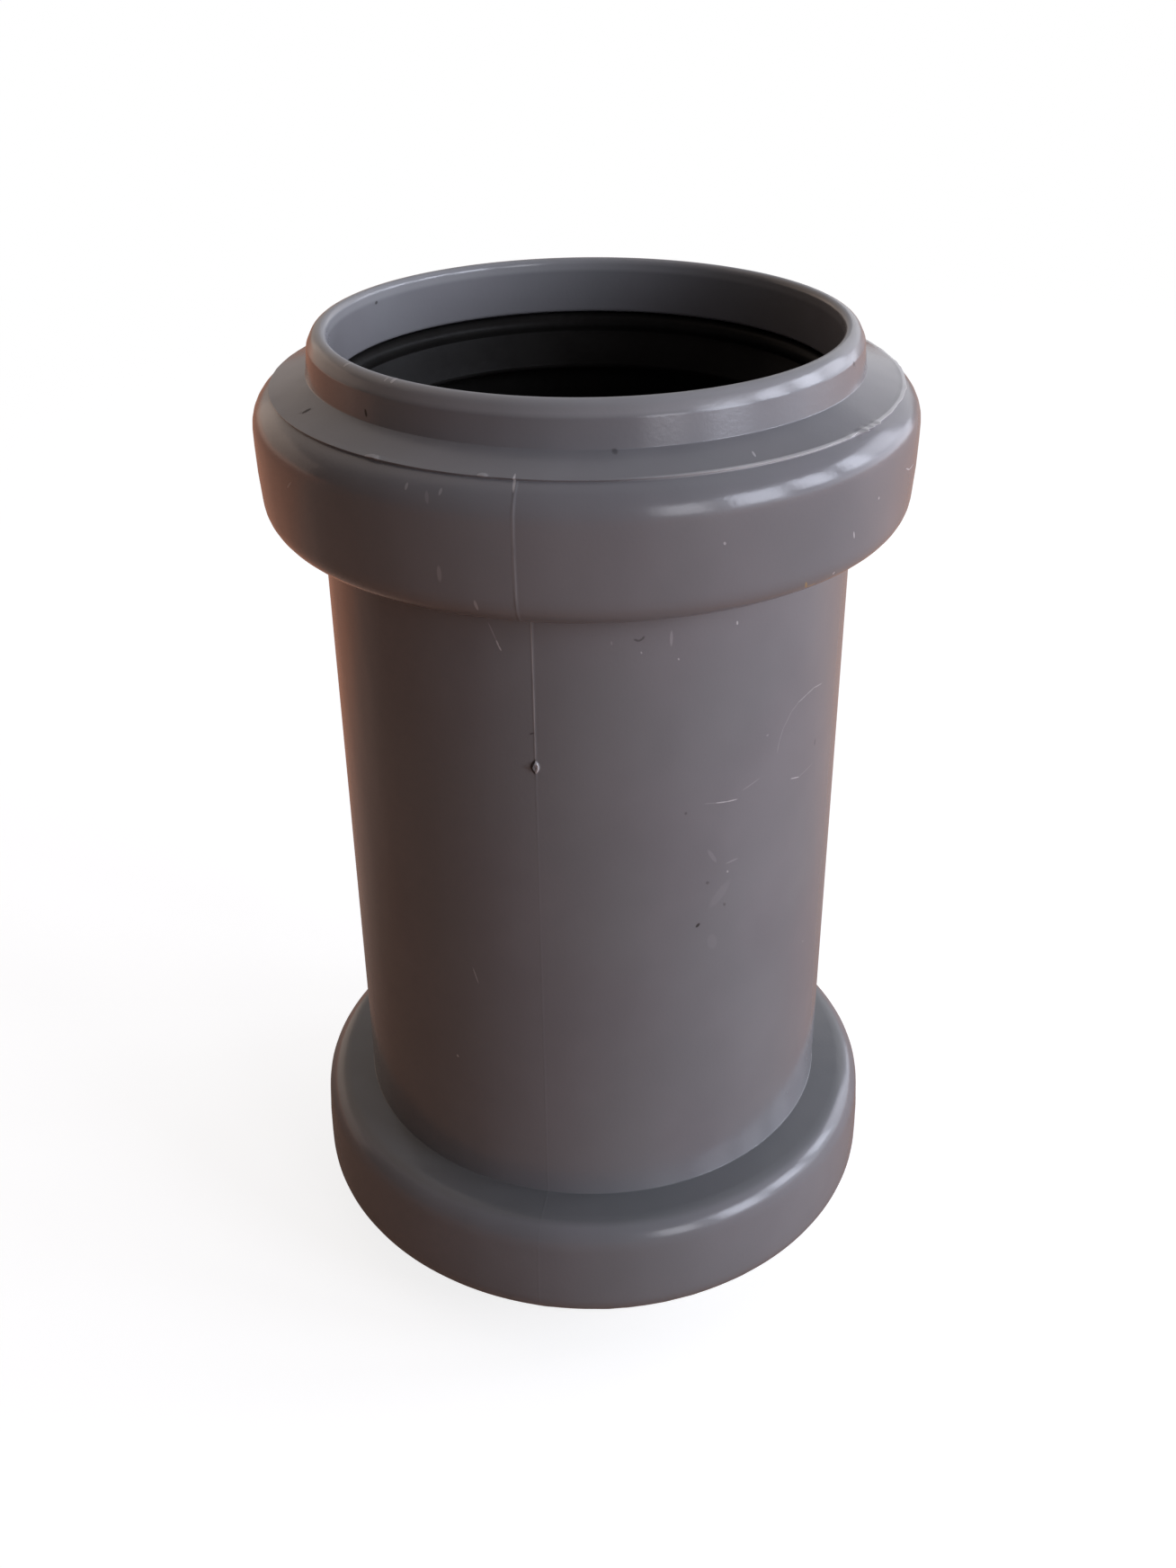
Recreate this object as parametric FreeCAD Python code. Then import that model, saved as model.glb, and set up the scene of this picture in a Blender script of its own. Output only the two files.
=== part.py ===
import FreeCAD, Part
import math
import os

# Push-fit repair coupling for a plastic waste pipe: a turned body with a seal in each end.
# Lengths are in millimetres. The axis is Z, and the bottom end face stands at Z = 0.
# Radii are taken from the axis, and depths run inwards from the nearer end face.

PIPE_DIAMETER = 50.0       # outside diameter of the pipes that are joined
LENGTH = 108.4             # from end face to end face

# Radial room round the pipe, and the walls of the moulding.
MOUTH_CLEARANCE = 0.15
BARREL_CLEARANCE = 0.25
GROOVE_SPACE = 5.8         # from the pipe to the floor of the seal's groove
BARREL_WALL = 1.85
LIP_WALL = 2.0
SHOULDER_WALL = 2.4
BEAD_WALL = 2.2
BEAD_BACK_WALL = 2.05      # between the groove and the bead's back, at the barrel

# Collar at the mouth.
COLLAR_HEIGHT = 4.0
COLLAR_FLARE = 0.4         # what its radius gains down to its foot
COLLAR_FILLET = 0.35
LIP_ROUNDING = 1.2
MOUTH_EDGE_ROUNDING = 0.6
MOUTH_INNER_ROUNDING = 0.4

# Bead round the seal. Its crown is its widest ring, midway along its wall.
BEAD_LENGTH = 19.0         # from the end face to the bead's back, where it meets the barrel
CROWN_ROUNDING = 60.0
BEAD_TAPER = 5.0           # degrees, from the crown to the back
BEAD_BACK_ANGLE = 6.0      # degrees from level: the back leans away from the barrel
BEAD_BACK_ROUNDING = 2.45
BARREL_FILLET = 0.3

# Shoulder between the collar and the bead, with the step where the two halves of the mould meet.
SHOULDER_ANGLE = 20.0      # degrees from level, on the collar's side of the step
PARTING_INSET = 1.85       # from the bead's largest radius in to the step
PARTING_STEP = 0.2
BEAD_FACE_ANGLE = 30.0     # degrees from level, on the bead's side of the step
SHOULDER_ROUNDING = 3.65

# Groove for the seal.
GROOVE_ROUNDING = 0.8
BARREL_LEAD_ROUNDING = 0.8

# Rubber seal: a ribbed ring in the groove, a round bead under the mouth, and a lip that slopes
# inwards and down, with a hollow behind it for the lip to bend into.
SEAL_CLEARANCE = 0.1       # from the seal to the groove, all round its section
SEAL_BEAD_OVERHANG = 0.4   # how far the round bead stands inwards of the mouth
SEAL_BEAD_ROUNDING = 1.1
SEAL_BEAD_HEIGHT = 1.6     # from the mouth's inner edge down to the bottom of the bead
CREASE_DEPTH = 0.6         # the crease between the bead and the lip, below the bead
CREASE_RECESS = 0.4
LIP_SQUEEZE = 1.8          # how far the lip's edge stands inside the pipe's surface
LIP_DROP = 3.5             # from the crease down to the lip's edge
LIP_THICKNESS = 1.2
LIP_EDGE_ROUNDING = 0.4
HOLLOW_SPACE = 2.3         # from the pipe's surface out to the ring, where the lip bends to
HOLLOW_WIDTH = 1.35        # of the hollow's flat top, between the ring and the lip
HOLLOW_ROUNDING = 0.5
RIB_COUNT = 3
RIB_HEIGHT = 0.4
RIB_SLOPE = 0.4            # how much wider each rib is at its foot, on each side
SEAL_CORNER_ROUNDING = 0.5 # at the ring's foot and under the bead

# Radii that follow from the pipe, the clearances and the walls.
PIPE_RADIUS = PIPE_DIAMETER / 2
MOUTH_RADIUS = PIPE_RADIUS + MOUTH_CLEARANCE
BARREL_BORE_RADIUS = PIPE_RADIUS + BARREL_CLEARANCE
GROOVE_RADIUS = PIPE_RADIUS + GROOVE_SPACE
BARREL_RADIUS = BARREL_BORE_RADIUS + BARREL_WALL
LIP_RADIUS = MOUTH_RADIUS + LIP_WALL
COLLAR_FOOT_RADIUS = LIP_RADIUS + COLLAR_FLARE
BEAD_RADIUS = GROOVE_RADIUS + BEAD_WALL
PARTING_RADIUS = BEAD_RADIUS - PARTING_INSET

SHOULDER_SLOPE = math.tan(math.radians(SHOULDER_ANGLE))
SHOULDER_WALL_DROP = SHOULDER_WALL / math.cos(math.radians(SHOULDER_ANGLE))
BEAD_SIDE_SLOPE = math.tan(math.radians(BEAD_TAPER))
BEAD_BACK_SLOPE = math.tan(math.radians(BEAD_BACK_ANGLE))
GROOVE_BACK_DEPTH = BEAD_LENGTH - BEAD_BACK_WALL


def shoulder_depth(radius):
    """Depth of the shoulder's outside at a radius."""
    return COLLAR_HEIGHT + (radius - COLLAR_FOOT_RADIUS) * SHOULDER_SLOPE


def groove_top_depth(radius):
    """Depth of the groove's sloping top wall, one wall below the shoulder."""
    return shoulder_depth(radius) + SHOULDER_WALL_DROP


def bead_back_corner(crown_depth):
    """Radius and depth where the bead's tapered side would meet its leaning back."""
    reach = BEAD_LENGTH + BARREL_RADIUS * BEAD_BACK_SLOPE - crown_depth
    radius = (BEAD_RADIUS - reach * BEAD_SIDE_SLOPE) / (1 - BEAD_BACK_SLOPE * BEAD_SIDE_SLOPE)
    return radius, BEAD_LENGTH - (radius - BARREL_RADIUS) * BEAD_BACK_SLOPE


def socket_outside():
    """Corners of one socket's outside, from the end face to the barrel: radius, depth, rounding."""
    step_depth = shoulder_depth(PARTING_RADIUS)
    face_drop = PARTING_INSET * math.tan(math.radians(BEAD_FACE_ANGLE))
    wall_top = step_depth + PARTING_STEP + face_drop
    crown_depth = (wall_top + BEAD_LENGTH) / 2
    back_radius, back_depth = bead_back_corner(crown_depth)
    return [
        (LIP_RADIUS, 0, LIP_ROUNDING),
        (COLLAR_FOOT_RADIUS, COLLAR_HEIGHT, COLLAR_FILLET),
        (PARTING_RADIUS, step_depth, 0),
        (PARTING_RADIUS, step_depth + PARTING_STEP, 0),
        (BEAD_RADIUS, wall_top, SHOULDER_ROUNDING),
        (BEAD_RADIUS, crown_depth, CROWN_ROUNDING),
        (back_radius, back_depth, BEAD_BACK_ROUNDING),
        (BARREL_RADIUS, BEAD_LENGTH, BARREL_FILLET),
    ]


def socket_inside():
    """Corners of one socket's inside, from the end face to the barrel's bore."""
    return [
        (MOUTH_RADIUS, 0, MOUTH_EDGE_ROUNDING),
        (MOUTH_RADIUS, groove_top_depth(MOUTH_RADIUS), MOUTH_INNER_ROUNDING),
        (GROOVE_RADIUS, groove_top_depth(GROOVE_RADIUS), GROOVE_ROUNDING),
        (GROOVE_RADIUS, GROOVE_BACK_DEPTH, GROOVE_ROUNDING),
        (BARREL_BORE_RADIUS, GROOVE_BACK_DEPTH, BARREL_LEAD_ROUNDING),
    ]


def at_top(corners):
    """Corners of the top end. At the bottom end a depth is already a height above the floor."""
    return [(radius, LENGTH - depth, rounding) for radius, depth, rounding in corners]


def body_section():
    """Half section of the body: up the outside from the bottom end, and down the bore."""
    outside = socket_outside() + at_top(socket_outside())[::-1]
    inside = at_top(socket_inside()) + socket_inside()[::-1]
    return outside + inside


def seal_back(top, foot, radius):
    """The seal's ribbed back, from its top down: each valley leaves a rib on either side."""
    pitch = (foot - top) / (2 * RIB_COUNT - 1)
    corners = []
    for valley in range(RIB_COUNT - 1):
        start = top + (2 * valley + 1) * pitch
        corners += [
            (radius, start, 0),
            (radius - RIB_HEIGHT, start + RIB_SLOPE, 0),
            (radius - RIB_HEIGHT, start + pitch - RIB_SLOPE, 0),
            (radius, start + pitch, 0),
        ]
    return corners


def seal_section():
    """Half section of one seal: down its back, across its foot, and up the hollow and the lip."""
    back_radius = GROOVE_RADIUS - SEAL_CLEARANCE
    back_rounding = max(GROOVE_ROUNDING - SEAL_CLEARANCE, 0)
    top_gap = SEAL_CLEARANCE / math.cos(math.radians(SHOULDER_ANGLE))
    back_top = groove_top_depth(back_radius) + top_gap
    foot = GROOVE_BACK_DEPTH - SEAL_CLEARANCE

    bead_radius = MOUTH_RADIUS - SEAL_BEAD_OVERHANG
    bead_bottom = groove_top_depth(MOUTH_RADIUS) + SEAL_BEAD_HEIGHT
    crease = (bead_radius + CREASE_RECESS, bead_bottom + CREASE_DEPTH)
    edge = (PIPE_RADIUS - LIP_SQUEEZE, crease[1] + LIP_DROP)

    lip_length = math.hypot(crease[0] - edge[0], LIP_DROP)
    slope_in = (crease[0] - edge[0]) / lip_length
    slope_down = LIP_DROP / lip_length
    edge_back = (edge[0] + LIP_THICKNESS * slope_down, edge[1] + LIP_THICKNESS * slope_in)
    ring_radius = PIPE_RADIUS + HOLLOW_SPACE
    root_radius = ring_radius - HOLLOW_WIDTH
    hollow_top = edge_back[1] - (root_radius - edge_back[0]) * slope_down / slope_in

    back = [(back_radius, back_top, back_rounding)]
    back += seal_back(back_top, foot, back_radius)
    back += [(back_radius, foot, back_rounding)]
    front = [
        (ring_radius, foot, SEAL_CORNER_ROUNDING),
        (ring_radius, hollow_top, HOLLOW_ROUNDING),
        (root_radius, hollow_top, HOLLOW_ROUNDING),
        (edge_back[0], edge_back[1], LIP_EDGE_ROUNDING),
        (edge[0], edge[1], LIP_EDGE_ROUNDING),
        (crease[0], crease[1], 0),
        (bead_radius, bead_bottom, SEAL_CORNER_ROUNDING),
        (bead_radius, groove_top_depth(bead_radius) + top_gap, SEAL_BEAD_ROUNDING),
    ]
    return back + front


def tangent_lengths(points, roundings):
    """How far each rounding reaches along its sides, less where two would meet on one side."""
    count = len(points)
    reach = []
    for k in range(count):
        before = (points[k - 1] - points[k]).normalize()
        after = (points[(k + 1) % count] - points[k]).normalize()
        half_turn = (math.pi - before.getAngle(after)) / 2
        reach.append(roundings[k] * math.tan(half_turn))
    limit = [1.0] * count
    for k in range(count):
        following = (k + 1) % count
        wanted = reach[k] + reach[following]
        side = (points[following] - points[k]).Length
        if wanted > side:
            limit[k] = min(limit[k], side / wanted)
            limit[following] = min(limit[following], side / wanted)
    return [length * share for length, share in zip(reach, limit)]


def corner_edges(point, before, after, reach):
    """The arc that rounds one corner, and the two points where it leaves the sides."""
    towards_before = (before - point).normalize()
    towards_after = (after - point).normalize()
    start = point + towards_before * reach
    end = point + towards_after * reach
    half_angle = towards_before.getAngle(towards_after) / 2
    radius = reach * math.tan(half_angle)
    middle_out = reach / math.cos(half_angle) - radius
    middle = point + (towards_before + towards_after).normalize() * middle_out
    return start, Part.Arc(start, middle, end).toShape(), end


def outline(corners):
    """Closed outline in the XZ plane through corners given as radius, height and rounding."""
    tiny = 1e-6
    points = [FreeCAD.Vector(radius, 0, height) for radius, height, rounding in corners]
    reach = tangent_lengths(points, [rounding for radius, height, rounding in corners])
    count = len(points)
    starts, arcs, ends = [], [], []
    for k in range(count):
        start, arc, end = points[k], None, points[k]
        if reach[k] > tiny:
            start, arc, end = corner_edges(points[k], points[k - 1], points[(k + 1) % count], reach[k])
        starts.append(start)
        arcs.append(arc)
        ends.append(end)
    edges = []
    for k in range(count):
        if arcs[k]:
            edges.append(arcs[k])
        next_start = starts[(k + 1) % count]
        if (next_start - ends[k]).Length > tiny:
            edges.append(Part.LineSegment(ends[k], next_start).toShape())
    return Part.Wire(edges)


def turned(corners):
    """The ring that a half section sweeps in one turn round the axis."""
    section = Part.Face(outline(corners))
    swept = section.revolve(FreeCAD.Vector(0, 0, 0), FreeCAD.Vector(0, 0, 1), 360)
    return swept if swept.ShapeType == "Solid" else swept.Solids[0]


def export(node, solid):
    """Check one piece and write it to its own file."""
    if solid.Volume < 0:
        solid.reverse()
    print(node, "valid", solid.isValid(), "volume", round(solid.Volume, 1), "mm3")
    solid.exportStep(os.path.join("parts", node + ".step"))


os.makedirs("parts", exist_ok=True)
export("coupling_body", turned(body_section()))
export("ring_seal_top", turned(at_top(seal_section())))
export("ring_seal_bottom", turned(seal_section()))
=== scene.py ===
import math

import bpy
from mathutils import Matrix, Vector, noise


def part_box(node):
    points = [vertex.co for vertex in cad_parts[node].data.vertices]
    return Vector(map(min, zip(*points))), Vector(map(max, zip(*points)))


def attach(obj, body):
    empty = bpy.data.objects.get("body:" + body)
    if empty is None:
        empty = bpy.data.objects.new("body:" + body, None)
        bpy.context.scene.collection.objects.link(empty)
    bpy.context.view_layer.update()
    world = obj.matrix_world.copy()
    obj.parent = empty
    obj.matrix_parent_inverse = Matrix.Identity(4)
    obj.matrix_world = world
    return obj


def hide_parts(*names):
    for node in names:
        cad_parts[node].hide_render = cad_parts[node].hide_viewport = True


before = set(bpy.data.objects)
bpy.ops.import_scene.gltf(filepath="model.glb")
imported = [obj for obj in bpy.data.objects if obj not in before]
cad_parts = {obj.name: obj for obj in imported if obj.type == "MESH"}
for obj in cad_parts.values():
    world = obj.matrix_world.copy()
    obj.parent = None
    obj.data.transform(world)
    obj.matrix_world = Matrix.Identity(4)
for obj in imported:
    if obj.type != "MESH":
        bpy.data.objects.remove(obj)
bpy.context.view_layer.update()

# Pipe repair coupling: a moulded grey body with a black rubber seal in each end.
# Lengths are in millimetres until a mesh or a lamp is made. The axis is Z and the floor is Z = 0.
# An azimuth is in degrees: 0 faces the camera's side, -Y, and 90 faces +X.
MM = 0.001
SAME = 0.01                # lengths that differ by less count as the same
COINCIDENT = 1e-4          # points that are nearer count as one

BODY_LOW, BODY_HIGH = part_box("coupling_body")
LENGTH = (BODY_HIGH.z - BODY_LOW.z) / MM
BEAD_RADIUS = BODY_HIGH.x / MM

# Widths of the moulding along a radius.
BEAD_WALL = 2.2
GROOVE_WIDTH = 5.8         # from the pipe to the back of the groove
MOUTH_CLEARANCE = 0.15
BORE_CLEARANCE = 0.25
BARREL_WALL = 1.85
LIP_WALL = 2.0
COLLAR_FLARE = 0.3
PARTING_INSET = 1.85

GROOVE_RADIUS = BEAD_RADIUS - BEAD_WALL
PIPE_RADIUS = GROOVE_RADIUS - GROOVE_WIDTH
MOUTH_RADIUS = PIPE_RADIUS + MOUTH_CLEARANCE
BORE_RADIUS = PIPE_RADIUS + BORE_CLEARANCE
BARREL_RADIUS = BORE_RADIUS + BARREL_WALL
LIP_RADIUS = MOUTH_RADIUS + LIP_WALL
COLLAR_FOOT_RADIUS = LIP_RADIUS + COLLAR_FLARE
PARTING_RADIUS = BEAD_RADIUS - PARTING_INSET
OUTSIDE_FROM = LIP_RADIUS - 0.2    # points further out than this lie on the body's outside

# Depths from the nearer end face, and slopes.
COLLAR_HEIGHT = 4.0
BEAD_LENGTH = 19.0
BEAD_BACK_WALL = 2.05
GROOVE_BACK_DEPTH = BEAD_LENGTH - BEAD_BACK_WALL
PARTING_STEP = 0.2
PARTING_UNDERCUT = 0.15    # how far the step's edge stands out over its foot
SHOULDER_ANGLE = math.radians(20)
SHOULDER_SLOPE = math.tan(SHOULDER_ANGLE)
SHOULDER_WALL = 2.4
SHOULDER_WALL_DROP = SHOULDER_WALL / math.cos(SHOULDER_ANGLE)
BEAD_FACE_DROP = PARTING_INSET * math.tan(math.radians(30))
BEAD_SIDE_SLOPE = math.tan(math.radians(5))
BEAD_BACK_SLOPE = math.tan(math.radians(6))

# The body's bevel and roundings.
LIP_BEVEL_WIDTH = 0.7
LIP_BEVEL_DROP = 1.4
LIP_TOP_ROUNDING = 1.1
LIP_SIDE_ROUNDING = 0.7
COLLAR_FOOT_ROUNDING = 0.12
STEP_EDGE_ROUNDING = 0.05
STEP_FOOT_ROUNDING = 0.03
BEAD_FRONT_ROUNDING = 3.65
CROWN_ROUNDING = 60
BEAD_BACK_ROUNDING = 3.1
BARREL_FILLET = 0.1
MOUTH_ROUNDING = 0.6
MOUTH_FOOT_ROUNDING = 0.4
GROOVE_ROUNDING = 0.8

# The seal's section, from its ribbed back to its lip.
SEAL_GAP = 0.1             # room between the seal and its groove
SEAL_BACK_ROUNDING = 0.7
BACK_PARTS = 5             # ribs and valleys take turns along the back
RIB_DEPTH = 0.4
RIB_ROUNDING = 0.1
RING_WIDTH = 2.3           # from the pipe to the inside of the seal's ring
RING_ROUNDING = 0.5
HOLLOW_WIDTH = 1.35
SEAL_LIP_REACH = 1.8       # how far the lip's edge stands in past the pipe
SEAL_LIP_DROP = 3.5
SEAL_LIP_THICKNESS = 1.2
SEAL_LIP_ROUNDING = 0.4
SEAL_WAVE_REACH = 1.6      # how far out from its edge the lip is uneven
SEAL_WAVES = [(0.07, 16, 3), (0.03, 5, 4)]    # size, wavelength in degrees, seed
SEAL_WAVE_UP = 0.6
CREASE_INSET = 0.4
CREASE_DROP = 0.6
CREASE_ROUNDING = 0.06
SEAL_BEAD_REACH = 0.4      # how far the seal's round bead stands in past the mouth's wall
SEAL_BEAD_DROP = 1.6
SEAL_BEAD_FOOT_ROUNDING = 0.5
SEAL_BEAD_TOP_ROUNDING = 1.1

# Line where the halves of the mould met, and the pip that the plastic left at the gate.
SEAM_AZIMUTH = -11.0
SEAM_HEIGHT = 0.05
SEAM_HALF_WIDTH = 0.3      # degrees
SEAM_FADE = 2.0            # height over which the seam gets plainer below the gate
SEAM_FADED = 0.7           # share of the seam that is lost there
SEAM_EVEN = 0.8
SEAM_UNEVEN = 0.4
SEAM_WAVES = 0.5           # waves of its uneven height in a millimetre
GATE_Z = 73.2
GATE_HALF_WIDTH = 0.42
GATE_HALF_HEIGHT = 0.68
GATE_RISE = 0.24
GATE_HOLLOW = 0.45         # how much of the rise is missing in the middle of the pip
GATE_DIP = (0.6, 0.1)      # shares of the half width between which that hollow deepens
GATE_RIM = 0.45            # share of the half width over which the pip's side rises
GATE_TIP = 0.5             # share of the half height over which its tips rise
GATE_LEAST_WIDTH = 0.02

# Flash on the mould's step. It is wider on the right, and there a painted highlight makes it paler.
FLASH_FADE = 0.45          # how far from the step's edge it reaches
FLASH_BELOW = 0.12         # and how far below the edge
RIGHT_SIDE = (5, 40, 85, 130)    # azimuths between which the right side comes in and goes out
FLASH_WIDTH = 0.05
FLASH_EXTRA_WIDTH = 0.19
FLASH_ROUGHNESS = 0.05
FLASH_EXTRA_ROUGHNESS = 0.08
FLASH_WAVES = (2.4, 7)     # degrees
FLASH_RISE = 0.55          # share of its width that it stands up, and out
FLASH_LESS_UP = 0.4        # on the right it leans outwards
FLASH_MORE_OUT = 0.25
SHADING_GUARD = 0.15       # a narrow face beside the flash keeps the shoulder's shading smooth

# Columns and rows of the meshes. Columns are in degrees, from -180 up.
SEAM_COLUMN = 0.15
FLASH_COLUMN = 0.6
PLAIN_COLUMN = 1.25
GATE_SIDE = 1.2            # how far from the front seam the narrow columns reach
BACK_SEAM_SIDE = 0.45
RAGGED_ARCS = [(36, 82), (-41, -33), (-18.5, -14.5)]
LAST_COLUMN = 179.95
COLUMN_NUDGE = 0.01        # keeps rounding from moving a column past a limit
SEAL_COLUMNS = 300         # how many
GATE_ROW = 0.1
GATE_ROWS_BELOW = 0.72
GATE_ROWS_ABOVE = 0.78
BODY_ARC_STEP = math.radians(11)    # most that a rounding turns from row to row
BODY_SIDE_STEP = 6.0       # longest way between rows on a straight side
SEAL_ARC_STEP = math.radians(12)
SEAL_SIDE_STEP = 1.2
SHARP_ANGLE = math.radians(40)

NOISE_RADIAN = 57.3        # degrees in a radian, rounded
NOISE_SEED_STEP = 7.31     # how far apart the noises of two seeds lie


def shoulder_depth(radius):
    """Depth of the shoulder's outside at a radius."""
    return COLLAR_HEIGHT + (radius - COLLAR_FOOT_RADIUS) * SHOULDER_SLOPE


def groove_top_depth(radius):
    """Depth of the groove's sloping top wall."""
    return shoulder_depth(radius) + SHOULDER_WALL_DROP


def bead_back_corner(crown_depth):
    """Radius and depth where the bead's tapered side would meet its leaning back."""
    reach = BEAD_LENGTH + BARREL_RADIUS * BEAD_BACK_SLOPE - crown_depth
    radius = (BEAD_RADIUS - reach * BEAD_SIDE_SLOPE) / (1 - BEAD_BACK_SLOPE * BEAD_SIDE_SLOPE)
    return radius, BEAD_LENGTH - (radius - BARREL_RADIUS) * BEAD_BACK_SLOPE


def socket_outside():
    """Corners of one socket's outside from the end face to the barrel: radius, depth, rounding."""
    flash_foot = PARTING_RADIUS - FLASH_FADE
    guard = flash_foot - SHADING_GUARD
    step_depth = shoulder_depth(PARTING_RADIUS)
    wall_top = step_depth + PARTING_STEP + BEAD_FACE_DROP
    crown_depth = (wall_top + BEAD_LENGTH) / 2
    back_radius, back_depth = bead_back_corner(crown_depth)
    return [
        (LIP_RADIUS - LIP_BEVEL_WIDTH, 0, LIP_TOP_ROUNDING),
        (LIP_RADIUS, LIP_BEVEL_DROP, LIP_SIDE_ROUNDING),
        (COLLAR_FOOT_RADIUS, COLLAR_HEIGHT, COLLAR_FOOT_ROUNDING),
        (guard, shoulder_depth(guard), 0),
        (flash_foot, shoulder_depth(flash_foot), 0),
        (PARTING_RADIUS, step_depth, STEP_EDGE_ROUNDING),
        (PARTING_RADIUS - PARTING_UNDERCUT, step_depth + PARTING_STEP, STEP_FOOT_ROUNDING),
        (BEAD_RADIUS, wall_top, BEAD_FRONT_ROUNDING),
        (BEAD_RADIUS, crown_depth, CROWN_ROUNDING),
        (back_radius, back_depth, BEAD_BACK_ROUNDING),
        (BARREL_RADIUS, BEAD_LENGTH, BARREL_FILLET),
    ]


def socket_inside():
    """Corners of one socket's inside from the end face to the barrel's bore."""
    return [
        (MOUTH_RADIUS, 0, MOUTH_ROUNDING),
        (MOUTH_RADIUS, groove_top_depth(MOUTH_RADIUS), MOUTH_FOOT_ROUNDING),
        (GROOVE_RADIUS, groove_top_depth(GROOVE_RADIUS), GROOVE_ROUNDING),
        (GROOVE_RADIUS, GROOVE_BACK_DEPTH, GROOVE_ROUNDING),
        (BORE_RADIUS, GROOVE_BACK_DEPTH, GROOVE_ROUNDING),
    ]


def at_top(corners):
    """Corners of the top end, where a depth is taken down from the top face."""
    return [(radius, LENGTH - depth, rounding) for radius, depth, rounding in corners]


def seal_back(foot):
    """Corners of the seal's ribbed back, from its top down to its foot."""
    radius = GROOVE_RADIUS - SEAL_GAP
    top = groove_top_depth(radius) + SEAL_GAP / math.cos(SHOULDER_ANGLE)
    pitch = (foot - top) / BACK_PARTS
    corners = [(radius, top, SEAL_BACK_ROUNDING)]
    for valley in range(1, BACK_PARTS, 2):
        start = top + valley * pitch
        end = start + pitch
        corners.append((radius, start, RIB_ROUNDING))
        corners.append((radius - RIB_DEPTH, start + RIB_DEPTH, RIB_ROUNDING))
        corners.append((radius - RIB_DEPTH, end - RIB_DEPTH, RIB_ROUNDING))
        corners.append((radius, end, RIB_ROUNDING))
    corners.append((radius, foot, SEAL_BACK_ROUNDING))
    return corners


def seal_front(foot):
    """Corners of the seal's ring, hollow, lip, crease and round bead, from its foot up to its top."""
    bead_radius = MOUTH_RADIUS - SEAL_BEAD_REACH
    bead_top = groove_top_depth(bead_radius) + SEAL_GAP / math.cos(SHOULDER_ANGLE)
    bead_bottom = groove_top_depth(MOUTH_RADIUS) + SEAL_BEAD_DROP
    crease = (bead_radius + CREASE_INSET, bead_bottom + CREASE_DROP)
    edge = (PIPE_RADIUS - SEAL_LIP_REACH, crease[1] + SEAL_LIP_DROP)
    lip_length = math.hypot(crease[0] - edge[0], SEAL_LIP_DROP)
    slope_in = (crease[0] - edge[0]) / lip_length
    slope_down = SEAL_LIP_DROP / lip_length
    edge_back = (edge[0] + SEAL_LIP_THICKNESS * slope_down, edge[1] + SEAL_LIP_THICKNESS * slope_in)
    ring_radius = PIPE_RADIUS + RING_WIDTH
    root_radius = ring_radius - HOLLOW_WIDTH
    hollow_top = edge_back[1] - (root_radius - edge_back[0]) * slope_down / slope_in
    return [
        (ring_radius, foot, RING_ROUNDING),
        (ring_radius, hollow_top, RING_ROUNDING),
        (root_radius, hollow_top, RING_ROUNDING),
        (*edge_back, SEAL_LIP_ROUNDING),
        (*edge, SEAL_LIP_ROUNDING),
        (*crease, CREASE_ROUNDING),
        (bead_radius, bead_bottom, SEAL_BEAD_FOOT_ROUNDING),
        (bead_radius, bead_top, SEAL_BEAD_TOP_ROUNDING),
    ]


def seal_corners():
    """Corners of one seal's half section: down its back, across its foot, up the hollow and lip."""
    foot = GROOVE_BACK_DEPTH - SEAL_GAP
    return seal_back(foot) + seal_front(foot)


def tangent_lengths(points, roundings):
    """How far each rounding reaches along its sides, less where two would meet on one side."""
    count = len(points)
    reach = []
    for k in range(count):
        before = (points[k - 1] - points[k]).normalized()
        after = (points[(k + 1) % count] - points[k]).normalized()
        reach.append(roundings[k] * math.tan((math.pi - before.angle(after)) / 2))
    limit = [1.0] * count
    for k in range(count):
        following = (k + 1) % count
        wanted = reach[k] + reach[following]
        side = (points[following] - points[k]).length
        if wanted > side:
            limit[k] = min(limit[k], side / wanted)
            limit[following] = min(limit[following], side / wanted)
    return [length * share for length, share in zip(reach, limit)]


def corner_arc(point, before, after, reach, arc_step):
    """Points of the arc that rounds one corner. before and after are the directions of its sides."""
    turn = math.pi - before.angle(after)
    steps = max(2, math.ceil(turn / arc_step))
    start, end = point + before * reach, point + after * reach
    radius = reach / math.tan(turn / 2)
    centre = point + (before + after).normalized() * (radius / math.cos(turn / 2))
    arc = []
    for i in range(steps + 1):
        share = i / steps
        blend = math.sin((1 - share) * turn) * (start - centre)
        blend += math.sin(share * turn) * (end - centre)
        arc.append(centre + blend / math.sin(turn))
    return arc


def outline(corners, arc_step, side_step):
    """Closed outline through rounded corners, as points with x for the radius and y for the height."""
    points = [Vector((radius, height)) for radius, height, rounding in corners]
    reach = tangent_lengths(points, [rounding for radius, height, rounding in corners])
    result = []
    for k, point in enumerate(points):
        following = (k + 1) % len(points)
        before = (points[k - 1] - point).normalized()
        after = (points[following] - point).normalized()
        if reach[k] < COINCIDENT / 10:
            result.append(point)
        else:
            result += corner_arc(point, before, after, reach[k], arc_step)
        end = point + after * reach[k]
        next_start = points[following] + (point - points[following]).normalized() * reach[following]
        pieces = math.ceil((next_start - end).length / side_step)
        for i in range(1, pieces):
            result.append(end.lerp(next_start, i / pieces))
    return without_doubles(result)


def without_doubles(points):
    """The outline without points that coincide with the one before."""
    kept = []
    for point in points:
        if not kept or (point - kept[-1]).length > COINCIDENT:
            kept.append(point)
    if (kept[0] - kept[-1]).length < COINCIDENT:
        kept.pop()
    return kept


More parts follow.
